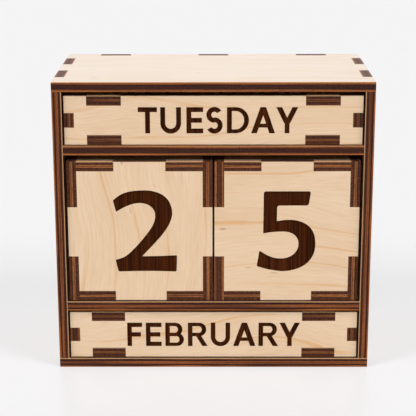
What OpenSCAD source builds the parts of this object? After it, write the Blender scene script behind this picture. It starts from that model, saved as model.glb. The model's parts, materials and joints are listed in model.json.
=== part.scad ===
// Perpetual desk calendar of laser-cut plywood.
// An open case has three compartments, one above the other: weekday bars at the top, two number
// cubes in the middle and month bars at the bottom. The blocks slide out of the open front and
// are turned by hand to show another face. Every cube and bar is a hollow box of six plates,
// and the case is seven boards. All of them interlock with square-cut fingers.
// The origin is the middle of the underside. +Z is up, and the open front faces -Y.

/* [Plywood] */
// Thickness of the plywood that every board and plate is cut from
board_t = 3; // [2:0.1:4]
// Play on each side of a finger in its notch or window
finger_play = 0.05; // [0.02:0.01:0.15]

/* [Number cubes] */
// Edge of a number cube
cube_size = 45; // [38:0.5:60]
// Width of the middle tab on the edges of a cube's plates
cube_tab_w = 16.2; // [10:0.1:24]
// Gap between the two cubes
cube_gap = 0.5; // [0.3:0.1:2]
// Gap between a cube and the side board beside it
cube_side_gap = 0.75; // [0.3:0.05:2]
// Headroom above the cubes
cube_headroom = 2.3; // [0.5:0.1:5]

/* [Weekday and month bars] */
// Height and depth of a bar
bar_size = 15.2; // [13:0.1:20]
// Gap between a bar's end and the side board beside it
bar_end_gap = 0.5; // [0.3:0.1:2]
// Headroom above the weekday bars
weekday_headroom = 1.4; // [0.4:0.1:3]
// Headroom above the month bars
month_headroom = 0.9; // [0.4:0.1:3]
// Gap between one bar and the next one behind it
bar_gap = 0.2; // [0.1:0.05:1]
// Length of the fingers along a bar's long edges
bar_finger_l = 10.4; // [6:0.1:16]
// Distance from a bar's end to the finger near it
bar_finger_inset = 7; // [5:0.1:14]
// Width of the middle tab on the edges of a bar's end plates
bar_end_tab_w = 4.4; // [2:0.1:6]

/* [Case] */
// How far the blocks stand back from the front of the case
front_recess = 1; // [0.2:0.1:3]
// Play between a block and the board that it stands on
floor_play = 0.1; // [0.05:0.05:0.3]
// Room behind the rearmost month bar
rear_room = 4; // [0.5:0.1:10]
// Length of the side boards' and shelves' tabs
side_tab_l = 12; // [6:0.5:14]
// Distance from the case's front and rear to the side tab near it
side_tab_inset = 9; // [5:0.5:10]
// Length of the back board's tabs, and of the shelves' tabs in the back board
back_tab_l = 10; // [6:0.5:16]
// Distance from the case's outer corners to the back board's tab near them
back_tab_inset = 11; // [6:0.5:14]

/* [Hidden] */
CASE_BOARDS = ["top_board", "bottom_board", "left_side", "right_side", "upper_shelf", "lower_shelf",
               "back_board"];
CUBES = ["left_cube", "right_cube"];
WEEKDAY_BARS = ["weekday_bar_1", "weekday_bar_2"];  // front to back
MONTH_BARS = ["month_bar_1", "month_bar_2", "month_bar_3"];  // front to back
PLATES = ["front", "back", "left", "right", "top", "bottom"];

OVERCUT = 1;  // how far a cut reaches past the edge that it opens

CASE_WOOD = [0.86, 0.72, 0.54];
CUBE_WOOD = [0.90, 0.80, 0.66];
BAR_WOOD = [0.92, 0.82, 0.67];
END_WOOD = [0.62, 0.42, 0.26];

// Blocks
cube_inner = cube_size - 2 * board_t;
bar_inner = bar_size - 2 * board_t;
month_stack_d = len(MONTH_BARS) * bar_size + (len(MONTH_BARS) - 1) * bar_gap;

// Case
inner_w = 2 * cube_size + cube_gap + 2 * cube_side_gap;
inner_d = front_recess + max(cube_size, month_stack_d) + rear_room;
case_w = inner_w + 2 * board_t;
case_d = inner_d + board_t;
month_z = board_t;
lower_shelf_z = month_z + bar_size + month_headroom;
cube_z = lower_shelf_z + board_t;
upper_shelf_z = cube_z + cube_size + cube_headroom;
weekday_z = upper_shelf_z + board_t;
top_board_z = weekday_z + bar_size + weekday_headroom;
case_h = top_board_z + board_t;
bar_l = inner_w - 2 * bar_end_gap;
block_front_y = -case_d / 2 + front_recess;

// Middles of the tabs, along the edge that carries them
side_tab_places = mirrored(case_d / 2 - side_tab_inset - side_tab_l / 2);
back_tab_places = concat(mirrored(case_w / 2 - back_tab_inset - back_tab_l / 2), [0]);
rear_side_tab_places = concat(mirrored(case_h / 2 - back_tab_inset - back_tab_l / 2), [0]);
bar_finger_places = mirrored(bar_l / 2 - bar_finger_inset - bar_finger_l / 2);

function mirrored(place) = [-place, place];

// ---- Cutting and standing a board ----

// A board or plate lying flat, with its underside at z
module lying(z) translate([0, 0, z]) linear_extrude(board_t) children();

// A board facing the front, drawn in X and Z, with its front face at y
module facing_front(y) translate([0, y + board_t, 0]) rotate([90, 0, 0]) linear_extrude(board_t) children();

// A board facing the side, drawn in Y and Z, with its left face at x
module facing_side(x) translate([x, 0, 0]) rotate([90, 0, 90]) linear_extrude(board_t) children();

// Tabs at places along X. They grow from the X axis to the edges at +span / 2 and -span / 2,
// or to the edge on one side of it
module edge_tabs(places, tab_l, span, sides = [-1, 1]) {
    for (place = places, side = sides)
        translate([place, side * span / 4]) square([tab_l - 2 * finger_play, span / 2], center = true);
}

// Notches for such tabs, one board deep, in the edges at +span / 2 and -span / 2 or in one of them
module edge_notches(places, tab_l, span, sides = [-1, 1]) {
    for (place = places, side = sides)
        translate([place, side * (span / 2 - board_t / 2 + OVERCUT / 2)])
            square([tab_l, board_t + OVERCUT], center = true);
}

// Windows at places along X for the tabs of a shelf whose underside is at shelf_z
module shelf_windows(shelf_z, places, tab_l) {
    for (place = places)
        translate([place - tab_l / 2, shelf_z - finger_play])
            square([tab_l, board_t + 2 * finger_play]);
}

// ---- The case ----

// Top and bottom board: the side boards' and the back board's tabs come through their edges
module case_lid_outline() {
    difference() {
        square([case_w, case_d], center = true);
        rotate(90) edge_notches(side_tab_places, side_tab_l, case_w);
        edge_notches(back_tab_places, back_tab_l, case_d, sides = [1]);
    }
}

// Side board, its rear edge at +X: tabs up and down, notches for the back board, shelf windows
module side_board_outline() {
    difference() {
        translate([0, case_h / 2]) union() {
            square([case_d, case_h - 2 * board_t], center = true);
            edge_tabs(side_tab_places, side_tab_l, case_h);
        }
        translate([0, case_h / 2]) rotate(-90)
            edge_notches(rear_side_tab_places, back_tab_l, case_d, sides = [1]);
        for (shelf_z = [lower_shelf_z, upper_shelf_z])
            shelf_windows(shelf_z, side_tab_places, side_tab_l);
    }
}

// Back board: tabs into the four boards around it, and windows for the shelves' rear tabs
module back_board_outline() {
    difference() {
        translate([0, case_h / 2]) union() {
            square([inner_w, case_h - 2 * board_t], center = true);
            edge_tabs(back_tab_places, back_tab_l, case_h);
            rotate(90) edge_tabs(rear_side_tab_places, back_tab_l, case_w);
        }
        for (shelf_z = [lower_shelf_z, upper_shelf_z])
            shelf_windows(shelf_z, back_tab_places, back_tab_l);
    }
}

// Shelf, its rear edge at +Y: tabs through both side boards and through the back board
module shelf_outline() {
    translate([0, -board_t / 2]) square([inner_w, inner_d], center = true);
    rotate(90) edge_tabs(side_tab_places, side_tab_l, case_w);
    edge_tabs(back_tab_places, back_tab_l, case_d, sides = [1]);
}

module top_board() color(CASE_WOOD) lying(top_board_z) case_lid_outline();

module bottom_board() color(CASE_WOOD) lying(0) case_lid_outline();

module left_side() color(CASE_WOOD) facing_side(-case_w / 2) side_board_outline();

module right_side() color(CASE_WOOD) facing_side(inner_w / 2) side_board_outline();

module upper_shelf() color(CASE_WOOD) lying(upper_shelf_z) shelf_outline();

module lower_shelf() color(CASE_WOOD) lying(lower_shelf_z) shelf_outline();

module back_board() color(CASE_WOOD) facing_front(case_d / 2 - board_t) back_board_outline();

// ---- A hollow block: six plates round its own middle ----

// Stands plate number 'plate' of a block of outer size [x, y, z] that is centred on the origin
module block_plate_place(plate, size) {
    if (plate == "front") facing_front(-size.y / 2) children();
    if (plate == "back") facing_front(size.y / 2 - board_t) children();
    if (plate == "left") facing_side(-size.x / 2) children();
    if (plate == "right") facing_side(size.x / 2 - board_t) children();
    if (plate == "top") lying(size.z / 2 - board_t) children();
    if (plate == "bottom") lying(-size.z / 2) children();
}

// ---- Number cubes ----

// Two tabs that cross in the middle of a plate and show in all four edges of its face
module crossed_tabs(tab_l, span) {
    edge_tabs([0], tab_l, span);
    rotate(90) edge_tabs([0], tab_l, span);
}

// Front and back plate: a plus, between the side plates and between the top and bottom plates
module cube_face_outline() {
    square(cube_inner, center = true);
    crossed_tabs(cube_tab_w, cube_size);
}

// Left and right plate: a full square that owns the corners, notched in the middle of each edge
module cube_side_outline() {
    difference() {
        square(cube_size, center = true);
        for (turn = [0, 90])
            rotate(turn) edge_notches([0], cube_tab_w, cube_size);
    }
}

// Top and bottom plate: reaches the front and back beside their tabs, and tabs into the sides
module cube_lid_outline() {
    difference() {
        union() {
            square([cube_inner, cube_size], center = true);
            rotate(90) edge_tabs([0], cube_tab_w, cube_size);
        }
        edge_notches([0], cube_tab_w, cube_size);
    }
}

module cube_plate(plate) {
    color(CUBE_WOOD) block_plate_place(plate, [cube_size, cube_size, cube_size]) {
        if (plate == "front" || plate == "back") cube_face_outline();
        if (plate == "left" || plate == "right") cube_side_outline();
        if (plate == "top" || plate == "bottom") cube_lid_outline();
    }
}

// ---- Weekday and month bars ----

// Front and back plate: the full face, notched for two long fingers and for the end plates' tabs
module bar_face_outline() {
    difference() {
        square([bar_l, bar_size], center = true);
        edge_notches(bar_finger_places, bar_finger_l, bar_size);
        rotate(90) edge_notches([0], bar_end_tab_w, bar_l);
    }
}

// Top and bottom plate: lies between the faces and reaches through them with two long fingers
module bar_lid_outline() {
    difference() {
        union() {
            square([bar_l, bar_inner], center = true);
            edge_tabs(bar_finger_places, bar_finger_l, bar_size);
        }
        rotate(90) edge_notches([0], bar_end_tab_w, bar_l);
    }
}

// End plate: a small square with a tab in the middle of each edge
module bar_end_outline() {
    square(bar_inner, center = true);
    crossed_tabs(bar_end_tab_w, bar_size);
}

module bar_plate(plate) {
    is_end = plate == "left" || plate == "right";
    color(is_end ? END_WOOD : BAR_WOOD) block_plate_place(plate, [bar_l, bar_size, bar_size]) {
        if (plate == "front" || plate == "back") bar_face_outline();
        if (is_end) bar_end_outline();
        if (plate == "top" || plate == "bottom") bar_lid_outline();
    }
}

// ---- Where each block rests ----

// A block of outer size [x, y, z], with its middle at x and its front 'behind' the foremost blocks'
module standing_block(size, x, behind, floor_z) {
    translate([x, block_front_y + behind + size.y / 2, floor_z + floor_play + size.z / 2]) children();
}

// Cube number 'index' from the left
module cube_rest_place(index) {
    cube_pitch = cube_size + cube_gap;
    standing_block([cube_size, cube_size, cube_size], (index - 1 / 2) * cube_pitch, 0, cube_z) children();
}

// Bar number 'index' from the front, in the compartment whose floor is at floor_z
module bar_rest_place(index, floor_z) {
    standing_block([bar_l, bar_size, bar_size], 0, index * (bar_size + bar_gap), floor_z) children();
}

top_board();
bottom_board();
left_side();
right_side();
upper_shelf();
lower_shelf();
back_board();
for (index = [0 : len(CUBES) - 1], plate = PLATES)
    cube_rest_place(index) cube_plate(plate);
for (index = [0 : len(WEEKDAY_BARS) - 1], plate = PLATES)
    bar_rest_place(index, weekday_z) bar_plate(plate);
for (index = [0 : len(MONTH_BARS) - 1], plate = PLATES)
    bar_rest_place(index, month_z) bar_plate(plate);
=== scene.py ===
import json
import math
import random

import bmesh
import bpy
from mathutils import Matrix, Vector
from mathutils.geometry import delaunay_2d_cdt


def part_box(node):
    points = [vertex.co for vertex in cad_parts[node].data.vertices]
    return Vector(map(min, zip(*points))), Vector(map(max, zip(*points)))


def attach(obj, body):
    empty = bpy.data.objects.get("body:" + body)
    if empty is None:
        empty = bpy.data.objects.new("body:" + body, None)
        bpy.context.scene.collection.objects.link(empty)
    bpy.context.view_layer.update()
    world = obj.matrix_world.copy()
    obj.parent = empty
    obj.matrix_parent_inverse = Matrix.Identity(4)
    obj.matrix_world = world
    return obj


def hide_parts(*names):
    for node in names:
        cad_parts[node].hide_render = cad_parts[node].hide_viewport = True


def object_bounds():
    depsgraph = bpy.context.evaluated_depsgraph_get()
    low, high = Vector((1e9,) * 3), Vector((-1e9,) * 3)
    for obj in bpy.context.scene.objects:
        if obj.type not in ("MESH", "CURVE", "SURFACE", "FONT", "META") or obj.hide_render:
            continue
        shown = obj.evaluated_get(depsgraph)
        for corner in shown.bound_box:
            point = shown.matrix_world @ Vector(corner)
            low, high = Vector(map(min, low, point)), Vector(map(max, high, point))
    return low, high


# The looks of a perpetual desk calendar of laser-cut birch plywood. Every board and plate of the
# frame is made again as a dressed mesh with the frame's exact outline: its rims are faintly
# broken, its cut edges show the three plies, and its lettering is engraved with real depth.
# Lengths are in millimetres here, and MM turns them into Blender's metres.

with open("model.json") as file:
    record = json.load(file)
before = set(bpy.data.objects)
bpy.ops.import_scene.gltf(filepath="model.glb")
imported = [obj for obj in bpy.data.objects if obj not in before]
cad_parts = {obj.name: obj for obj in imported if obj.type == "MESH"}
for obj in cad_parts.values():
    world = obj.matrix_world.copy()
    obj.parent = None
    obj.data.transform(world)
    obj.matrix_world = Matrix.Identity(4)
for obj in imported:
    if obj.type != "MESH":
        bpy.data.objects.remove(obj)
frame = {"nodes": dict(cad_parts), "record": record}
cad_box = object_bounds()

MM = 0.001
RIM = 0.07             # bevel on every edge of a board
ENGRAVING_DEPTH = 0.35
SAME_PLACE = 0.01      # places nearer to each other than this are one
X, Y, Z = 0, 1, 2


def around(loop):
    """Each point of a closed loop, between the one before it and the one after it."""
    return zip(loop[-1:] + loop[:-1], loop, loop[1:] + loop[:1])


# ---- Lettering: plain capitals one unit high, and digits in millimetres round their middle ----

STROKE = 0.185         # width of a capital's strokes
SLANT_W = 0.215        # the same, measured level across a slanting stroke
CROSSBAR = 0.15        # height of the thinner bars in A, B, P and R
ARC_STEP = 9           # degrees between the points of an arc


def box_shape(left, right, low, high):
    return [(left, low), (right, low), (right, high), (left, high)]


def post(left, low=0.0, high=1.0, width=STROKE):
    return box_shape(left, left + width, low, high)


def beam(low, left, right, height=STROKE):
    return box_shape(left, right, low, low + height)


def slant(low_left, high_left, low=0.0, high=1.0, width=SLANT_W):
    """A slanting stroke with level ends, given by the left corners of its foot and its head."""
    return [(low_left, low), (low_left + width, low), (high_left + width, high), (high_left, high)]


def bow(middle, radii, start, end, strokes=(STROKE, STROKE)):
    """Part of an upright ring, from start to end degrees. strokes are its widths at the side and at
    the top."""
    steps = max(2, round((end - start) / ARC_STEP))
    angles = [math.radians(start + (end - start) * i / steps) for i in range(steps + 1)]

    def arc(radius_x, radius_y, order):
        return [(middle[0] + radius_x * math.cos(a), middle[1] + radius_y * math.sin(a))
                for a in order]

    return (arc(radii[0], radii[1], angles)
            + arc(radii[0] - strokes[0], radii[1] - strokes[1], reversed(angles)))


def ring(middle, radii, strokes=(STROKE, STROKE)):
    return [bow(middle, radii, 0, 180, strokes), bow(middle, radii, 180, 360, strokes)]


def bowl(low, high, right):
    """The closed half round of B, D, P and R, which grows from the left edge of the letter."""
    radius = (high - low) / 2
    turn = right - radius
    return [beam(low, 0, turn, CROSSBAR), beam(high - CROSSBAR, 0, turn, CROSSBAR),
            bow((turn, low + radius), (radius, radius), -90, 90, (STROKE, CROSSBAR))]


HALF_BAR = 0.5 - STROKE / 2
STRAIGHT, ROUND, OPEN, SLANTED = 0.1, 0.06, 0.05, 0.02  # room that a letter's side needs
LETTERS = {  # width, room at the left and right, and strokes
    "A": (0.90, SLANTED, SLANTED, [slant(0, 0.343), slant(0.685, 0.342),
                                   beam(0.22, 0.2, 0.70, CROSSBAR)]),
    "B": (0.75, STRAIGHT, ROUND, [post(0)] + bowl(0, 0.57, 0.75) + bowl(0.57 - CROSSBAR, 1, 0.69)),
    "C": (0.82, ROUND, OPEN, [bow((0.48, 0.5), (0.48, 0.51), 48, 312)]),
    "D": (0.83, STRAIGHT, ROUND, [post(0)] + bowl(0, 1, 0.83)),
    "E": (0.63, STRAIGHT, OPEN, [post(0), beam(0, 0, 0.63), beam(HALF_BAR, 0, 0.58),
                                 beam(1 - STROKE, 0, 0.63)]),
    "F": (0.60, STRAIGHT, OPEN, [post(0), beam(HALF_BAR, 0, 0.55), beam(1 - STROKE, 0, 0.60)]),
    "G": (0.90, ROUND, STRAIGHT, [bow((0.48, 0.5), (0.48, 0.51), 48, 325), beam(0.36, 0.50, 0.90),
                                  post(0.715, 0.17, 0.5)]),
    "H": (0.78, STRAIGHT, STRAIGHT, [post(0), post(0.78 - STROKE), beam(HALF_BAR, 0, 0.78)]),
    "I": (STROKE, STRAIGHT, STRAIGHT, [post(0)]),
    "J": (0.48, OPEN, STRAIGHT, [post(0.48 - STROKE, 0.26),
                                 bow((0.20, 0.27), (0.28, 0.28), 205, 360)]),
    "L": (0.58, STRAIGHT, SLANTED, [post(0), beam(0, 0, 0.58)]),
    "M": (1.03, STRAIGHT, STRAIGHT, [post(0), post(1.03 - STROKE), slant(0.41, 0),
                                     slant(0.405, 0.815)]),
    "N": (0.84, STRAIGHT, STRAIGHT, [post(0), post(0.84 - STROKE), slant(0.61, 0, width=0.23)]),
    "O": (0.95, ROUND, ROUND, ring((0.475, 0.5), (0.475, 0.51))),
    "P": (0.73, STRAIGHT, SLANTED, [post(0)] + bowl(0.40, 1, 0.73)),
    "R": (0.80, STRAIGHT, SLANTED, [post(0), slant(0.58, 0.28, high=0.5)] + bowl(0.42, 1, 0.74)),
    "S": (0.62, ROUND, ROUND, [bow((0.31, 0.708), (0.30, 0.302), 32, 270),
                               bow((0.31, 0.302), (0.31, 0.312), -150, 90)]),
    "T": (0.72, SLANTED, SLANTED, [post((0.72 - STROKE) / 2), beam(1 - STROKE, 0, 0.72)]),
    "U": (0.78, STRAIGHT, STRAIGHT, [post(0, 0.38), post(0.78 - STROKE, 0.38),
                                     bow((0.39, 0.39), (0.39, 0.40), 180, 360)]),
    "W": (1.34, SLANTED, SLANTED, [slant(0.29, 0, width=0.2), slant(0.29, 0.565, width=0.2),
                                   slant(0.85, 0.575, width=0.2), slant(0.85, 1.14, width=0.2)]),
    "Y": (0.82, SLANTED, SLANTED, [post((0.82 - STROKE) / 2, 0, 0.5), slant(0.30, 0, 0.38),
                                   slant(0.305, 0.605, 0.38)]),
}


def word(letters, height):
    """The strokes of a word, round its own middle."""
    strokes, pen = [], 0
    for letter in letters:
        width, room_left, room_right, shapes = LETTERS[letter]
        left = pen + room_left
        strokes += [[(left + x, y - 0.5) for x, y in shape] for shape in shapes]
        pen = left + width + room_right
    middle = (LETTERS[letters[0]][1] + pen - LETTERS[letters[-1]][2]) / 2
    return [[((x - middle) * height, y * height) for x, y in shape] for shape in strokes]


SPAN_STEPS = 5         # pieces between two knots of a smooth line
SHARP_TURN = 40        # degrees; a smaller turn isn't a corner
DIGIT_CORNER = 0.5     # radius of a digit's corners
CORNER_SHARE = 0.45    # how much of a side a corner's rounding may take


def smooth(knots):
    """Points along a smooth line through the knots."""
    knots = [Vector(knot) for knot in knots]
    ends = [2 * knots[0] - knots[1]] + knots + [2 * knots[-1] - knots[-2]]
    line = []
    for a, b, c, d in zip(ends, ends[1:], ends[2:], ends[3:]):
        for step in range(SPAN_STEPS):
            t = step / SPAN_STEPS
            line.append((2 * b + (c - a) * t + (2 * a - 5 * b + 4 * c - d) * t ** 2
                         + (3 * b - a - 3 * c + d) * t ** 3) / 2)
    return line + [knots[-1]]


def drawn(*runs):
    """A shape whose outline is smooth along each run and turns a corner between two of them."""
    outline = []
    for run in runs:
        outline += [point for point in smooth(run)
                    if not outline or (point - outline[-1]).length > SAME_PLACE]
    return rounded(outline)


def rounded(shape, radius=DIGIT_CORNER):
    """A shape with its sharp corners rounded."""
    corners = [Vector(corner) for corner in shape]
    outline = []
    for before, here, after in around(corners):
        back, on = before - here, after - here
        if math.degrees((-back).angle(on)) < SHARP_TURN:
            outline.append(tuple(here))
            continue
        start = here + back.normalized() * min(radius, back.length * CORNER_SHARE)
        end = here + on.normalized() * min(radius, on.length * CORNER_SHARE)
        for t in (0, 0.25, 0.5, 0.75, 1):
            outline.append(tuple(start * (1 - t) ** 2 + here * 2 * t * (1 - t) + end * t ** 2))
    return outline


DIGIT_TOP = 13.0       # half the height of a digit with a level top
SIDE_AND_TOP = (5.1, 4.1)  # stroke widths of the round digits
TWO = drawn(
    [(-9.75, 10.2), (-7.5, 11.9), (-4.8, 12.95), (-1.4, 13.35), (2.0, 13.25), (5.0, 12.3),
     (7.2, 10.5), (8.3, 8.1), (8.55, 5.6), (7.9, 3.15), (6.5, 0.65), (4.8, -1.65), (3.0, -3.7),
     (1.1, -5.75), (-0.95, -7.95)],
    [(-0.95, -7.95), (4.5, -7.85), (9.95, -7.6)],
    [(9.95, -7.6), (9.9, -10.4), (9.75, -12.95)],
    [(9.75, -12.95), (0.6, -12.75), (-8.4, -12.95)],
    [(-8.4, -12.95), (-9.25, -9.1)],
    [(-9.25, -9.1), (-7.1, -8.4), (-5.5, -7.45), (-3.5, -5.55), (-1.2, -3.0), (0.95, -0.25),
     (2.6, 2.35), (3.3, 4.9), (2.9, 7.0), (1.4, 8.6), (-0.9, 9.3), (-3.5, 9.05), (-6.1, 8.05),
     (-8.85, 6.5)])
THREE = drawn(
    [(-8.4, 10.7), (-5.4, 12.5), (-1.4, 13.25), (2.6, 12.8), (5.8, 11.1), (7.3, 8.4), (6.9, 5.5),
     (5.0, 3.0), (2.4, 1.5)],
    [(2.4, 1.5), (5.8, 0.3), (8.2, -2.1), (8.95, -5.1), (8.1, -8.4), (5.6, -11.2), (1.9, -12.6),
     (-2.6, -12.85), (-8.9, -11.3)],
    [(-8.9, -11.3), (-8.2, -7.2)],
    [(-8.2, -7.2), (-5.0, -8.5), (-1.6, -8.9), (1.6, -8.1), (3.6, -5.9), (3.5, -3.2), (1.6, -1.3),
     (-1.4, -0.5), (-4.8, -0.5)],
    [(-4.8, -0.5), (-4.8, 3.0)],
    [(-4.8, 3.0), (-1.8, 3.1), (0.9, 3.9), (2.4, 5.6), (2.4, 7.4), (0.9, 8.9), (-1.6, 9.3),
     (-4.3, 8.6), (-7.3, 7.1)])
FIVE_STEM = rounded(
    [(-7.2, 13.05), (7.4, 13.05), (6.7, 8.5), (-3.02, 8.5), (-3.12, 0.0), (-7.27, 0.0)], 0.8)
FIVE_BOWL = drawn(
    [(-3.6, 3.4), (-0.6, 3.85), (2.2, 3.85), (4.8, 3.15), (6.9, 1.85), (8.35, -0.2), (8.95, -2.7),
     (8.95, -5.3), (8.3, -7.7), (6.8, -9.9), (4.6, -11.5), (1.8, -12.5), (-1.0, -12.85),
     (-3.9, -12.55), (-6.5, -12.0), (-9.2, -11.2)],
    [(-9.2, -11.2), (-8.4, -6.1)],
    [(-8.4, -6.1), (-6.1, -7.5), (-4.1, -8.35), (-2.0, -8.65), (0.2, -8.4), (2.1, -7.4),
     (3.4, -5.7), (3.75, -3.6), (3.1, -1.7), (1.5, -0.4), (-0.6, 0.1), (-3.0, 0.05),
     (-5.2, -0.15), (-7.3, -0.5)],
    [(-7.3, -0.5), (-7.2, 2.0)])
SIX_STEM = drawn(
    [(7.7, 12.6), (4.4, 13.1), (0.8, 12.7), (-3.2, 10.9), (-6.6, 7.4), (-8.7, 2.2), (-9.3, -4.8)],
    [(-4.2, -4.8), (-4.3, -1.0), (-3.7, 2.5), (-2.1, 5.7), (0.6, 8.0), (3.8, 8.9), (7.2, 8.6)])
DIGITS = {
    "0": ring((0, 0), (9.6, 13.15), SIDE_AND_TOP),
    "1": [box_shape(-0.9, 4.1, -DIGIT_TOP, DIGIT_TOP), [(-6.6, 7.4), (0.9, 9.6), (2.0, DIGIT_TOP),
                                                       (-0.6, DIGIT_TOP), (-6.6, 10.6)]],
    "2": [TWO],
    "3": [THREE],
    "4": [slant(-10.2, 2.4, -4.4, DIGIT_TOP, 4.8), beam(-7.6, -10.2, 9.8, 4.0),
          post(2.4, -DIGIT_TOP, DIGIT_TOP, 4.8)],
    "5": [FIVE_STEM, FIVE_BOWL],
    "6": [SIX_STEM] + ring((0, -4.8), (9.3, 8.35), SIDE_AND_TOP),
    "7": [beam(8.6, -9.3, 9.3, DIGIT_TOP - 8.6), slant(-5.2, 4.1, -DIGIT_TOP, 9.0, 5.2)],
    "8": ring((0, 6.4), (8.0, 6.75), SIDE_AND_TOP) + ring((0, -5.6), (9.3, 7.55), SIDE_AND_TOP),
}

WEEKDAY_CAPITAL = 8.1  # height of the weekdays' capitals
MONTH_CAPITAL = 7.9
WEEKDAY_SHIFT = 1.4    # how far the weekdays stand right of the middle
LEFT_DIGIT_SHIFT = 1.4  # the same for the left cube's digits
ROLLING_FACES = ["front", "top", "back", "bottom"]  # in the order in which a bar shows them
DIGIT_FACES = ["front", "back", "left", "right", "top", "bottom"]
WEEKDAYS = {
    "weekday_bar_1": ["TUESDAY", "WEDNESDAY", "THURSDAY", "FRIDAY"],
    "weekday_bar_2": ["SATURDAY", "SUNDAY"],
}
MONTHS = {
    "month_bar_1": ["FEBRUARY", "MARCH", "APRIL", "MAY"],
    "month_bar_2": ["JUNE", "JULY", "AUGUST", "SEPTEMBER"],
    "month_bar_3": ["OCTOBER", "DECEMBER", "JANUARY"],
}
CUBE_DIGITS = {"left_cube": "280167", "right_cube": "501234"}


def shifted(shapes, right):
    return [[(x + right, y) for x, y in shape] for shape in shapes]


def marks_by_node():
    """The engraved shapes of each plate that has any."""
    marks = {}
    for bar, words in WEEKDAYS.items():
        for face, letters in zip(ROLLING_FACES, words):
            marks[f"{bar}_{face}"] = shifted(word(letters, WEEKDAY_CAPITAL), WEEKDAY_SHIFT)
    for bar, words in MONTHS.items():
        for face, letters in zip(ROLLING_FACES, words):
            marks[f"{bar}_{face}"] = word(letters, MONTH_CAPITAL)
    for cube, digits in CUBE_DIGITS.items():
        shift = LEFT_DIGIT_SHIFT if cube == "left_cube" else 0
        for face, digit in zip(DIGIT_FACES, digits):
            marks[f"{cube}_{face}"] = shifted(DIGITS[digit], shift)
    return marks


# ---- Plates: which way each one faces, and the outline that the frame gives it ----

UPRIGHT = (0, 0, 1)
UP = {"front": UPRIGHT, "top": (0, 1, 0), "back": (0, 0, -1), "bottom": (0, -1, 0)}
OUTWARD = {"front": (Y, -1), "back": (Y, 1), "left": (X, -1), "right": (X, 1),
           "top": (Z, 1), "bottom": (Z, -1)}
CASE_FACES = {"top_board": "top", "bottom_board": "top", "left_side": "left", "right_side": "right",
              "upper_shelf": "top", "lower_shelf": "top", "back_board": "back"}
# The way the outer plies' grain runs on each face, and on the plates that differ
DEFAULT_GRAIN = {"front": X, "back": X, "left": Y, "right": Y, "top": Y, "bottom": Y}
GRAIN = {"top_board": X, "upper_shelf": X, "left_cube_front": Z, "right_cube_left": Z,
         "month_bar_1_left": Z}
# How much of a pale lip the cut edges have, on the case's boards and on some faces of the blocks;
# the lip is partly the cut's paler side and partly a painted highlight
LIPS = {"case": 1.0, "bar_top": 1.0, "cube_top": 1.0, "bar_bottom": 0.5}
# Which broad faces of the case's boards look into it, and are painted darker as shade: 1 for the
# outward one, -1 for the other
SCORCH_AND_SHADE_SIDES = {"top_board": [-1], "bottom_board": [1], "left_side": [-1], "right_side": [-1],
          "upper_shelf": [1, -1], "lower_shelf": [1, -1], "back_board": [-1]}

LOOKS_OUT = 0.99       # share of its normal along the axis that a polygon of the broad face has
LEAST_TURN = 0.01      # sine of the smallest turn that is a corner
INSIDE_ONLY = 1        # asks delaunay_2d_cdt for triangles, and none outside the loops
MERGED_WITHIN = 1e-5


def face_name(node):
    return CASE_FACES.get(node) or node.rsplit("_", 1)[1]


def up_of(node):
    """Up for a plate's lettering. A bar is rolled over from one word to the next, but a cube is
    turned round, so its back has its number upright too."""
    face = face_name(node)
    is_cube_back = face == "back" and "_cube_" in node
    return Vector(UPRIGHT if is_cube_back else UP.get(face, UPRIGHT))


def outline_loops(node, axis):
    """Loops of corners in mm round a plate, from the frame. An outer one runs anticlockwise, and a
    window's clockwise."""
    u, v = (axis + 1) % 3, (axis + 2) % 3
    mesh = frame["nodes"][node].data
    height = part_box(node)[1][axis]
    half_edges = {}
    for polygon in mesh.polygons:
        corners = [mesh.vertices[i].co for i in polygon.vertices]
        if polygon.normal[axis] < LOOKS_OUT or abs(corners[0][axis] - height) > SAME_PLACE * MM:
            continue
        flat = [(round(c[u] / MM, 3), round(c[v] / MM, 3)) for c in corners]
        half_edges.update(dict.fromkeys(zip(flat, flat[1:] + flat[:1])))
    follows = {a: b for a, b in half_edges if (b, a) not in half_edges}
    loops = []
    while follows:
        corner = next(iter(follows))
        loop = []
        while corner in follows:
            loop.append(Vector(corner))
            corner = follows.pop(corner)
        loops.append(without_straight_corners(loop))
    return loops


def without_straight_corners(loop):
    return [here for before, here, after in around(loop)
            if abs((here - before).normalized().cross((after - here).normalized())) > LEAST_TURN]


def signed_area(loop):
    return sum(a[0] * b[1] - b[0] * a[1] for a, b in zip(loop, loop[1:] + loop[:1])) / 2


def inset(loop, distance):
    """The loop moved into the board. It holds for outlines that turn only at right angles."""
    moved = []
    for before, here, after in around(loop):
        sides = [(here - before).normalized(), (after - here).normalized()]
        inward = [Vector((-side.y, side.x)) for side in sides]
        moved.append(here + distance * sum(inward, Vector((0, 0))))
    return moved


def triangulated(loops, marks):
    """Points, and triangles between them that fill the loops. Each triangle is given by its corners
    and whether a mark covers it."""
    points, faces, windows = [], [], set()
    for shape in loops + marks:
        if signed_area(shape) < 0:
            shape = shape[::-1]
            if len(faces) < len(loops):
                windows.add(len(faces))
        faces.append(list(range(len(points), len(points) + len(shape))))
        points += [Vector(point) for point in shape]
    points, _, triangles, _, _, sources = delaunay_2d_cdt(points, [], faces, INSIDE_ONLY,
                                                          MERGED_WITHIN, True)
    kept = []
    for triangle, source in zip(triangles, sources):
        if source and windows.isdisjoint(source):
            kept.append((triangle, any(face >= len(loops) for face in source)))
    return points, kept


# ---- Materials ----

def rgb(red, green, blue):
    """A colour given by the values that a screen shows, from 0 to 255."""
    return tuple(((c / 255 + 0.055) / 1.055) ** 2.4 for c in (red, green, blue)) + (1.0,)


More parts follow.
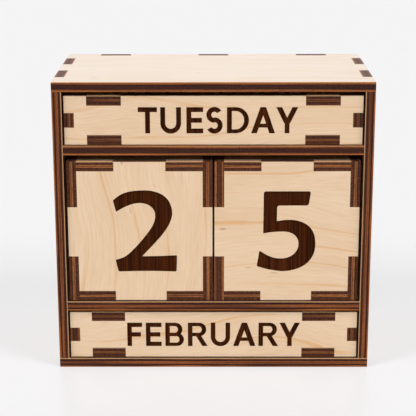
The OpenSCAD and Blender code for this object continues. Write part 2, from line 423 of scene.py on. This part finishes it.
class Graph:
    """Builds a material's nodes in short lines. An input is a socket or a plain value."""

    def __init__(self, name):
        self.material = bpy.data.materials.new(name)
        self.material.use_nodes = True
        self.tree = self.material.node_tree
        self.shader = self.tree.nodes["Principled BSDF"]

    def node(self, kind, inputs, output=0, **settings):
        made = self.tree.nodes.new(kind)
        for name, value in settings.items():
            setattr(made, name, value)
        for name, value in inputs.items():
            self.feed(made.inputs[name], value)
        return made.outputs[output]

    def feed(self, socket, value):
        if isinstance(value, bpy.types.NodeSocket):
            self.tree.links.new(value, socket)
        else:
            socket.default_value = value

    def shade(self, **inputs):
        for name, value in inputs.items():
            self.feed(self.shader.inputs[name.replace("_", " ")], value)

    def attribute(self, name):
        return self.node("ShaderNodeAttribute", {}, "Vector", attribute_name=name)

    def split(self, vector):
        return [self.node("ShaderNodeSeparateXYZ", {"Vector": vector}, axis) for axis in "XYZ"]

    def join(self, x, y, z=0.0):
        return self.node("ShaderNodeCombineXYZ", {"X": x, "Y": y, "Z": z})

    def math(self, operation, a, b=0.0):
        return self.node("ShaderNodeMath", {0: a, 1: b}, operation=operation)

    def scaled(self, vector, sizes):
        """A place divided by sizes in mm, which makes a texture's features about that large."""
        return self.node("ShaderNodeVectorMath", {0: vector, 1: [1 / size for size in sizes]},
                         operation="MULTIPLY")

    def noise(self, vector, sizes, detail=2):
        place = self.scaled(vector, sizes)
        return self.node("ShaderNodeTexNoise", {"Vector": place, "Scale": 1.0, "Detail": detail})

    def spread(self, value, low, high, to_low=0.0, to_high=1.0):
        """Takes low..high to to_low..to_high, smoothly and clamped."""
        return self.node("ShaderNodeMapRange", {"Value": value, "From Min": low, "From Max": high,
                                                "To Min": to_low, "To Max": to_high},
                         interpolation_type="SMOOTHSTEP")

    def mix(self, factor, a, b):
        """A colour between a, at a factor of 0, and b. The node takes its colours at 6 and 7."""
        return self.node("ShaderNodeMix", {0: factor, 6: a, 7: b}, 2, data_type="RGBA")

    def bump(self, height, depth, strength):
        return self.node("ShaderNodeBump", {"Height": height, "Distance": depth * MM,
                                            "Strength": strength})


# Two colours of the veneer, of the top board's veneer painted paler as the light that falls on it
# from above, and of the case's inside painted darker as shade
PALE, WARM = rgb(236, 208, 177), rgb(226, 193, 158)
PAINTED_LIGHT_PALE, PAINTED_LIGHT_WARM = rgb(236, 222, 208), rgb(229, 210, 190)
PAINTED_SHADE_PALE, PAINTED_SHADE_WARM = rgb(158, 120, 84), rgb(138, 102, 70)
# What shows in them
LINE = rgb(206, 160, 114)
GROWTH = rgb(220, 166, 104)
FLECK = rgb(176, 124, 78)
STAIN = rgb(240, 172, 116)
# scorch and painted shade at the front of the case's inside
SCORCH_AND_SHADE = rgb(40, 22, 13)

GRAIN_DRIFT = 24.0     # how far the grain wanders across a board
RING_PITCH = 7.3       # from one growth line to the next
RING_WANDER = 1.5      # how far such a line wanders
FLECK_CELL = (8.0, 1.7, 1.0)  # a patch of this size along and across the grain may have a fleck
PLAIN_CELLS = 0.965    # share of those patches that have none
STAIN_FADE = 1.2, 3.2  # how far behind the front the stain begins to fade and ends
SCORCH_AND_SHADE_FADE = 2.0, 7.0  # the same for the scorch and painted shade at the front of the case's inside
SCORCH_AND_SHADE_WANDER = 1.2     # how far the end of that scorch and painted shade wanders


def face_material(name, pale, warm, figure=1.0, scorch_and_shade=False, stained=False):
    """Birch veneer. The ply attribute holds mm along the grain, across it and through the board.
    The front attribute holds mm behind the case's front and how much of a pale lip the plate has.
    figure is how strongly the grain shows. Veneer of the case's inside is painted dark near the
    front, partly as scorch and partly as shade. Stained veneer is tan beside the foremost cut edge
    of a plate that has a lip."""
    g = Graph(name)
    along, across, _ = g.split(g.attribute("ply"))
    drift = g.noise(g.join(along, across), (70, 34, 1), 1)
    across = g.math("ADD", across, g.math("MULTIPLY", drift, GRAIN_DRIFT))
    grain = g.join(along, across)
    cloud = g.noise(grain, (40, 8, 1))
    streak = g.noise(grain, (22, 0.7, 1), 4)
    fibre = g.noise(grain, (6, 0.3, 1))
    colour = g.mix(g.spread(cloud, 0.32, 0.75, 0, 0.6), pale, warm)
    colour = g.mix(g.spread(streak, 0.42, 0.75, 0, 0.13 * figure), colour, LINE)

    wandering = g.math("ADD", across, g.math("MULTIPLY", streak, RING_WANDER))
    part_of_ring = g.math("FRACT", g.math("DIVIDE", wandering, RING_PITCH))
    ring_line = g.spread(part_of_ring, 0.87, 0.985, 0, 0.5 * figure)
    colour = g.mix(g.math("MULTIPLY", ring_line, g.spread(cloud, 0.38, 0.6)), colour, GROWTH)
    colour = g.mix(g.spread(fibre, 0.35, 0.75, 0, 0.20 * figure), colour, LINE)

    cells = {"Vector": g.scaled(grain, FLECK_CELL), "Scale": 1.0}
    spot = g.spread(g.node("ShaderNodeTexVoronoi", cells, "Distance"), 0.08, 0.24, 0.6, 0)
    chance = g.split(g.node("ShaderNodeTexVoronoi", cells, "Color"))[0]
    fleck = g.math("MULTIPLY", spot, g.math("GREATER_THAN", chance, PLAIN_CELLS))
    colour = g.mix(fleck, colour, FLECK)

    if stained:
        behind, lip_share, _ = g.split(g.attribute("front"))
        stain = g.math("MULTIPLY", g.spread(behind, *STAIN_FADE, 0.9, 0), lip_share)
        colour = g.mix(stain, colour, STAIN)
    # Painted shade and scorch: the inside's veneer is darkest at the front, where it shows in the
    # gaps between the blocks and the case
    if scorch_and_shade:
        behind = g.split(g.attribute("front"))[0]
        ragged = g.math("ADD", behind, g.math("MULTIPLY", streak, SCORCH_AND_SHADE_WANDER))
        colour = g.mix(g.spread(ragged, *SCORCH_AND_SHADE_FADE, 0.95, 0), colour, SCORCH_AND_SHADE)
    g.shade(Base_Color=colour, Roughness=g.spread(streak, 0.3, 0.7, 0.48, 0.6),
            Specular_IOR_Level=0.25, Normal=g.bump(g.math("ADD", fibre, streak), 0.02, 0.5))
    return g.material


GLUE = rgb(34, 16, 12)
SKIN_TAN = rgb(184, 108, 52)
# the pale lip, partly the cut's paler side and partly a painted highlight
LIP_PALE = rgb(212, 170, 126)
# soot, and a painted grey sheen of edges seen at a grazing angle
SOOT_AND_SHEEN = rgb(134, 106, 96)

# Depths in a board, from its middle. A pair says where a change begins and where it ends
PLY_EDGE = 0.62        # the glue line between the core and an outer ply
PLY_BLEND = 0.05       # half the width of the change from core to outer ply
GLUE_WANDER = 0.12     # how far the glue line wanders
GLUE_FADE = 0.06, 0.18  # its dark, from the glue's own middle
SKIN = 0.98, 1.2       # the tan skins of an edge along the grain
LIP_SKIN = 1.04, 1.22  # the tan skin of an edge across the grain, on the lip's side
OTHER_SKIN = -1.2, -1.0  # and on the other side
SKIN_WANDER = 1.2      # how far these two wander
LIP = 1.22, 1.34       # the pale lip, partly a painted highlight

PLY_APART = 17.0       # how far apart the plies lie in the noise, so that each has its own
FRONT_FADE = 1.5, 3.0  # how far behind the front the tan begins to turn to soot and painted sheen, and ends


def edge_material(name, outer_is_long, colours, bark, lip):
    """A laser-cut edge. The plies whose grain runs along it are amber, and those cut across it are
    dark. bark is how tan the board's two skins are at the front, and lip how pale one rim is, a
    pale lip that is partly a painted highlight."""
    light, dark, end_light, end_dark = colours
    g = Graph(name)
    along, across, through = g.split(g.attribute("ply"))
    behind, lip_share, _ = g.split(g.attribute("front"))
    run = along if outer_is_long else across
    wave = g.noise(g.join(run, through), (7.0, 6.0, 1))
    depth = g.math("ADD", through, g.math("MULTIPLY", g.math("SUBTRACT", wave, 0.5), GLUE_WANDER))
    off_middle = g.math("ABSOLUTE", depth)
    is_outer = g.math("GREATER_THAN", off_middle, PLY_EDGE)
    ply_number = g.math("MULTIPLY", g.math("SIGN", depth), is_outer)
    place = g.join(run, depth, g.math("MULTIPLY", ply_number, PLY_APART))
    streak = g.noise(place, (34.0, 0.24, 1))
    tick = g.noise(place, (0.4, 1.4, 1))
    mottle = g.noise(place, (1.6, 0.35, 1))

    long_grain = g.mix(g.spread(streak, 0.40, 0.60), dark, light)
    long_grain = g.mix(g.spread(mottle, 0.42, 0.7, 0, 0.5), long_grain, dark)
    end_grain = g.mix(g.spread(tick, 0.35, 0.7), end_dark, end_light)
    end_grain = g.mix(g.spread(streak, 0.5, 0.72, 0, 0.6), end_grain, dark)
    outer, core = (long_grain, end_grain) if outer_is_long else (end_grain, long_grain)
    in_core = g.spread(off_middle, PLY_EDGE - PLY_BLEND, PLY_EDGE + PLY_BLEND, 1, 0)
    colour = g.mix(in_core, outer, core)

    skin = g.mix(g.spread(streak, 0.30, 0.56), dark, SKIN_TAN)
    share = g.spread(behind, *FRONT_FADE, bark, 0)
    if outer_is_long:
        colour = g.mix(g.spread(off_middle, *SKIN, 0, share), colour, skin)
    else:
        slow = g.noise(g.join(run, 0.0), (26.0, 1, 1))
        reach = g.math("MULTIPLY", g.math("SUBTRACT", slow, 0.5), SKIN_WANDER)
        half_share = g.math("MULTIPLY", share, 0.5)
        lip_skin = g.spread(g.math("ADD", depth, reach), *LIP_SKIN, 0, half_share)
        other_skin = g.spread(g.math("SUBTRACT", depth, reach), *OTHER_SKIN, share, 0)
        colour = g.mix(other_skin, g.mix(lip_skin, colour, skin), skin)

    # Partly painted highlight: the pale lip on one rim, partly the cut's paler side
    pale = g.math("MULTIPLY", g.spread(through, *LIP, 0, lip), lip_share)
    colour = g.mix(pale, colour, LIP_PALE)
    off_glue = g.math("ABSOLUTE", g.math("SUBTRACT", off_middle, PLY_EDGE))
    colour = g.mix(g.spread(off_glue, *GLUE_FADE, 0.9, 0), colour, GLUE)
    colour = g.mix(g.spread(tick, 0.5, 0.8, 0, 0.45), colour, end_dark)
    # Painted sheen and soot: behind the front the cut edges turn greyer
    colour = g.mix(g.spread(behind, *FRONT_FADE, 0, 0.32), colour, SOOT_AND_SHEEN)
    g.shade(Base_Color=colour, Roughness=g.spread(streak, 0.3, 0.7, 0.5, 0.65),
            Specular_IOR_Level=0.12, Normal=g.bump(g.math("ADD", tick, streak), 0.05, 0.6))
    return g.material


BURNT, BURNT_LIGHT, BURNT_DARK = rgb(58, 25, 6), rgb(82, 38, 12), rgb(32, 13, 4)


def engraving_material():
    """The burnt recess of the lettering. The raster attribute holds mm across it and up."""
    g = Graph("engraved_birch")
    raster = g.attribute("raster")
    band = g.noise(raster, (0.5, 40, 1))
    line = g.noise(raster, (6, 0.12, 1), 1)
    speck = g.noise(raster, (0.35, 0.35, 1))
    colour = g.mix(g.spread(band, 0.3, 0.7), BURNT_DARK, BURNT_LIGHT)
    colour = g.mix(g.spread(speck, 0.3, 0.7, 0, 0.5), colour, BURNT)
    g.shade(Base_Color=colour, Roughness=0.8, Specular_IOR_Level=0.04,
            Normal=g.bump(g.math("ADD", line, speck), 0.06, 0.7))
    return g.material


# The numbers of a plate's finishes. The case alone has the last two: its inside with painted shade
# and its top with painted light
FACE, LONG_EDGE, CROSS_EDGE, ENGRAVED, SCORCH_AND_SHADE_FACE, PAINTED_LIGHT_FACE = range(6)
engraved = engraving_material()


def plywood(slot, colours, bark, lips):
    """The first four finishes of one plywood slot. bark and lips hold a value for the edges along
    the outer plies' grain and one for those across it."""
    return [face_material(f"{slot}_face", PALE, WARM, 1.2, stained=(slot != "case")),
            edge_material(f"{slot}_long_edge", True, colours, bark[0], lips[0]),
            edge_material(f"{slot}_cross_edge", False, colours, bark[1], lips[1]), engraved]


# Colours of the cut edges: light and dark along the grain, and light and dark across it
CASE_EDGES = rgb(146, 84, 46), rgb(86, 46, 28), rgb(70, 36, 27), rgb(38, 18, 14)
CUBE_EDGES = rgb(162, 102, 58), rgb(86, 48, 30), rgb(108, 60, 38), rgb(54, 27, 18)
BAR_EDGES = rgb(128, 76, 44), rgb(68, 37, 23), rgb(92, 50, 33), rgb(48, 24, 17)
FINISHES = {"case_plywood": plywood("case", CASE_EDGES, (0.8, 0.8), (0.3, 0.75))
            # the case's inside, painted darker as shade, with scorch and deeper painted shade near
            # the front
            + [face_material("case_inner_face_painted_shade", PAINTED_SHADE_PALE, PAINTED_SHADE_WARM, scorch_and_shade=True),
               # the top board's top, painted paler as the light that falls on it from above
               face_material("case_top_face_painted_light", PAINTED_LIGHT_PALE, PAINTED_LIGHT_WARM, 0.35)],
            "cube_plywood": plywood("cube", CUBE_EDGES, (0.0, 0.0), (0.8, 0.8)),
            "bar_plywood": plywood("bar", BAR_EDGES, (0.3, 0.15), (0.7, 0.7))}


def slot_of(node):
    if "_cube_" in node:
        return "cube_plywood"
    return "bar_plywood" if "_bar_" in node else "case_plywood"


# ---- Dressing a plate ----

VENEER = 400           # size of the sheet of veneer, on which each plate has a place of its own
WELDED_WITHIN = 0.0005


class Plate:
    """A board or plate being dressed. Points in its plane are (u, v) in mm. w runs through it."""

    def __init__(self, node):
        self.node = node
        self.axis, self.side = OUTWARD[face_name(node)]
        self.plane = ((self.axis + 1) % 3, (self.axis + 2) % 3)
        low, high = (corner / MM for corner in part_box(node))
        self.middle = (low + high) / 2
        self.half = (high[self.axis] - low[self.axis]) / 2
        self.grain = GRAIN.get(node, DEFAULT_GRAIN[face_name(node)])
        self.up = up_of(node)
        outward = Vector([self.side if axis == self.axis else 0 for axis in (X, Y, Z)])
        self.right = self.up.cross(outward)
        chance = random.Random(node)
        self.shift = (chance.uniform(0, VENEER), chance.uniform(0, VENEER))
        self.bm = bmesh.new()
        self.ply = self.bm.verts.layers.float_vector.new("ply")
        self.raster = self.bm.verts.layers.float_vector.new("raster")
        self.front = self.bm.verts.layers.float_vector.new("front")
        # The rim with the pale lip, partly a painted highlight: 1 for the outward one, -1 for the
        # other
        self.lip_side = -1 if node.endswith(("_side", "_bottom")) else 1
        block = slot_of(node).removesuffix("_plywood")
        self.lip = LIPS.get(block) or LIPS.get(f"{block}_{face_name(node)}", 0.0)

    def vert(self, point, w):
        """A vertex at (u, v), w mm from the mid-plane towards the outward face."""
        place = Vector((0, 0, 0))
        place[self.axis] = self.middle[self.axis] + self.side * w
        place[self.plane[0]], place[self.plane[1]] = point
        made = self.bm.verts.new(place * MM)
        along, across = point if self.grain == self.plane[0] else (point[1], point[0])
        made[self.ply] = (along + self.shift[0], across + self.shift[1], w * self.lip_side)
        made[self.front] = (place.y - cad_box[0].y / MM, self.lip, 0)
        made[self.raster] = (place.dot(self.right) + self.shift[0],
                             place.dot(self.up) + self.shift[1], 0)
        return made

    def face(self, corners, finish, outward):
        """A face whose corners run anticlockwise in the plane, turned to look outward or inward."""
        turned = (outward > 0) != (self.side > 0)
        made = self.bm.faces.new(corners[::-1] if turned else corners)
        made.material_index = finish

    def edge_finish(self, here, after):
        runs_along = abs((after - here)[0]) > abs((after - here)[1])
        run_axis = self.plane[0] if runs_along else self.plane[1]
        return LONG_EDGE if run_axis == self.grain else CROSS_EDGE

    def face_finish(self, outward):
        # Faces that look into the case get the finish with painted shade
        if outward in SCORCH_AND_SHADE_SIDES.get(self.node, []):
            return SCORCH_AND_SHADE_FACE
        return PAINTED_LIGHT_FACE if self.node == "top_board" else FACE

    def band(self, loop, low, high, outward):
        """The faces along a loop between two rings of vertices, with the finish of a cut edge."""
        for i in range(len(loop)):
            j = (i + 1) % len(loop)
            finish = self.edge_finish(loop[i], loop[j])
            self.face([low[i], low[j], high[j], high[i]], finish, outward)

    def place_mark(self, shape):
        """A mark's shape, given to the right and up from the plate's middle, as points (u, v)."""
        placed = []
        for x, y in shape:
            point = self.middle + self.right * x + self.up * y
            placed.append((point[self.plane[0]], point[self.plane[1]]))
        return placed

    def cap(self, loops, marks, outward):
        """One broad face, with its marks sunk into it, and the bevel round it."""
        surface = outward * self.half
        insides = [[tuple(p) for p in inset(loop, RIM)] for loop in loops]
        points, triangles = triangulated(insides, marks)
        verts = {}

        def at(index, w):
            if (index, w) not in verts:
                verts[index, w] = self.vert(points[index], w)
            return verts[index, w]

        floor = surface - outward * ENGRAVING_DEPTH
        plain = self.face_finish(outward)
        plain_edges = set()
        for corners, marked in triangles:
            level = floor if marked else surface
            self.face([at(i, level) for i in corners], ENGRAVED if marked else plain, outward)
            if not marked:
                plain_edges.update(zip(corners, corners[1:] + corners[:1]))
        for corners, marked in triangles:
            for a, b in zip(corners, corners[1:] + corners[:1]):
                if marked and (b, a) in plain_edges:
                    wall = [at(a, surface), at(b, surface), at(b, floor), at(a, floor)]
                    self.face(wall, ENGRAVED, outward)
        for loop in loops:
            inner = [self.vert(p, surface) for p in inset(loop, RIM)]
            outer = [self.vert(p, surface - outward * RIM) for p in loop]
            self.band(loop, outer, inner, outward)

    def rims(self, loops):
        """The cut edges between the two bevels."""
        for loop in loops:
            low = [self.vert(p, RIM - self.half) for p in loop]
            high = [self.vert(p, self.half - RIM) for p in loop]
            self.band(loop, low, high, 1)

    def finished(self):
        """The dressed object, with the vertices that its faces share made one."""
        bmesh.ops.remove_doubles(self.bm, verts=self.bm.verts, dist=WELDED_WITHIN * MM)
        mesh = bpy.data.meshes.new(f"{self.node}_ply")
        self.bm.to_mesh(mesh)
        self.bm.free()
        piece = bpy.data.objects.new(f"{self.node}_ply", mesh)
        bpy.context.scene.collection.objects.link(piece)
        for finish in FINISHES[slot_of(self.node)]:
            mesh.materials.append(finish)
        return piece


def dress(node, marks):
    plate = Plate(node)
    loops = outline_loops(node, plate.axis)
    plate.cap(loops, [plate.place_mark(shape) for shape in marks], 1)
    plate.cap(loops, [], -1)
    plate.rims(loops)
    piece = plate.finished()
    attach(piece, body_of[node])
    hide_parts(node)


bodies = frame["record"]["behaviour"]["bodies"]
body_of = {node: body for body, nodes in bodies.items() for node in nodes}
all_marks = marks_by_node()
for node in sorted(frame["nodes"]):
    dress(node, all_marks.get(node, []))


# ---- Camera ----

FOCAL_LENGTH = 114.44
SENSOR_WIDTH = 36
CAMERA_PLACE = Vector((0.26, -420.22, 162.57))
PITCH, YAW, ROLL = 15.61, -0.282, -0.099  # degrees down, to the right and of roll


def make_camera():
    data = bpy.data.cameras.new("camera")
    data.lens = FOCAL_LENGTH
    data.sensor_width = SENSOR_WIDTH
    data.clip_start, data.clip_end = 0.01, 50
    camera = bpy.data.objects.new("camera", data)
    bpy.context.scene.collection.objects.link(camera)
    pitch, yaw, roll = (math.radians(angle) for angle in (PITCH, YAW, ROLL))
    turn = (Matrix.Rotation(-yaw, 4, "Z") @ Matrix.Rotation(math.pi / 2 - pitch, 4, "X")
            @ Matrix.Rotation(roll, 4, "Z"))
    camera.matrix_world = Matrix.Translation(CAMERA_PLACE * MM) @ turn
    bpy.context.scene.camera = camera


# ---- Floor and light ----

FLOOR_SIZE = 14.0      # metres
FLOOR_SEEN = rgb(166, 165, 166)    # as the camera and gloss see it
FLOOR_BOUNCE = rgb(110, 108, 106)  # as the object is lit by it
FLOOR_TINT = (0.988, 0.99, 1.0, 1.0)
FLOOR_GLOW = 0.52      # keeps the shadows on the floor as faint as a lit backdrop makes them
FLOOR_POLISH = 0.09    # share of the floor's gloss
WORLD_FILL = 0.075     # strength of the world on the object
WORLD_SEEN = 0.93      # and as the camera and gloss see it
SUNS = {  # azimuth, elevation, strength and softness
    "key_left": (-60, 38, 1.48, 25),
    "key_right": (60, 38, 1.48, 25),
    "front": (0, 34, 1.6, 18),
    "overhead": (0, 89, 0.27, 40),
    "back_left": (-140, 12, 0.45, 40),
    "back_right": (140, 12, 0.45, 40),
}


def make_floor():
    mesh = bpy.data.meshes.new("floor")
    half = FLOOR_SIZE / 2
    corners = [(-half, -half, 0), (half, -half, 0), (half, half, 0), (-half, half, 0)]
    mesh.from_pydata(corners, [], [(0, 1, 2, 3)])
    floor = bpy.data.objects.new("floor", mesh)
    bpy.context.scene.collection.objects.link(floor)
    g = Graph("studio_floor")
    path = g.tree.nodes.new("ShaderNodeLightPath")
    seen = g.math("MAXIMUM", path.outputs["Is Camera Ray"], path.outputs["Is Glossy Ray"])
    g.shade(Base_Color=g.mix(seen, FLOOR_BOUNCE, FLOOR_SEEN), Roughness=0.5, Specular_IOR_Level=0.0,
            Emission_Color=FLOOR_TINT, Emission_Strength=g.math("MULTIPLY", seen, FLOOR_GLOW))
    polish = g.tree.nodes.new("ShaderNodeBsdfGlossy")
    polish.inputs["Roughness"].default_value = 0.3
    polished = g.tree.nodes.new("ShaderNodeMixShader")
    polished.inputs["Fac"].default_value = FLOOR_POLISH
    g.tree.links.new(g.shader.outputs["BSDF"], polished.inputs[1])
    g.tree.links.new(polish.outputs["BSDF"], polished.inputs[2])
    g.tree.links.new(polished.outputs["Shader"], g.tree.nodes["Material Output"].inputs["Surface"])
    mesh.materials.append(g.material)


def make_sun(name, azimuth, elevation, strength, softness):
    """A soft sun. It stands azimuth degrees to the right of the front, and elevation degrees up."""
    data = bpy.data.lights.new(name, "SUN")
    data.energy = strength
    data.angle = math.radians(softness)
    sun = bpy.data.objects.new(name, data)
    a, e = math.radians(azimuth), math.radians(elevation)
    towards = Vector((math.sin(a) * math.cos(e), -math.cos(a) * math.cos(e), math.sin(e)))
    sun.rotation_euler = towards.to_track_quat("Z", "Y").to_euler()
    bpy.context.scene.collection.objects.link(sun)


def make_world():
    world = bpy.data.worlds.new("studio")
    bpy.context.scene.world = world
    world.use_nodes = True
    tree = world.node_tree
    background = tree.nodes["Background"]
    path = tree.nodes.new("ShaderNodeLightPath")
    seen = tree.nodes.new("ShaderNodeMath")
    seen.operation = "MAXIMUM"
    tree.links.new(path.outputs["Is Camera Ray"], seen.inputs[0])
    tree.links.new(path.outputs["Is Glossy Ray"], seen.inputs[1])
    strength = tree.nodes.new("ShaderNodeMapRange")
    strength.inputs["To Min"].default_value = WORLD_FILL
    strength.inputs["To Max"].default_value = WORLD_SEEN
    tree.links.new(seen.outputs[0], strength.inputs["Value"])
    tree.links.new(strength.outputs[0], background.inputs["Strength"])
    background.inputs["Color"].default_value = (1, 1, 1, 1)


make_camera()
make_floor()
make_world()
for sun_name, sun_values in SUNS.items():
    make_sun(sun_name, *sun_values)
bpy.context.scene.view_settings.view_transform = "Standard"
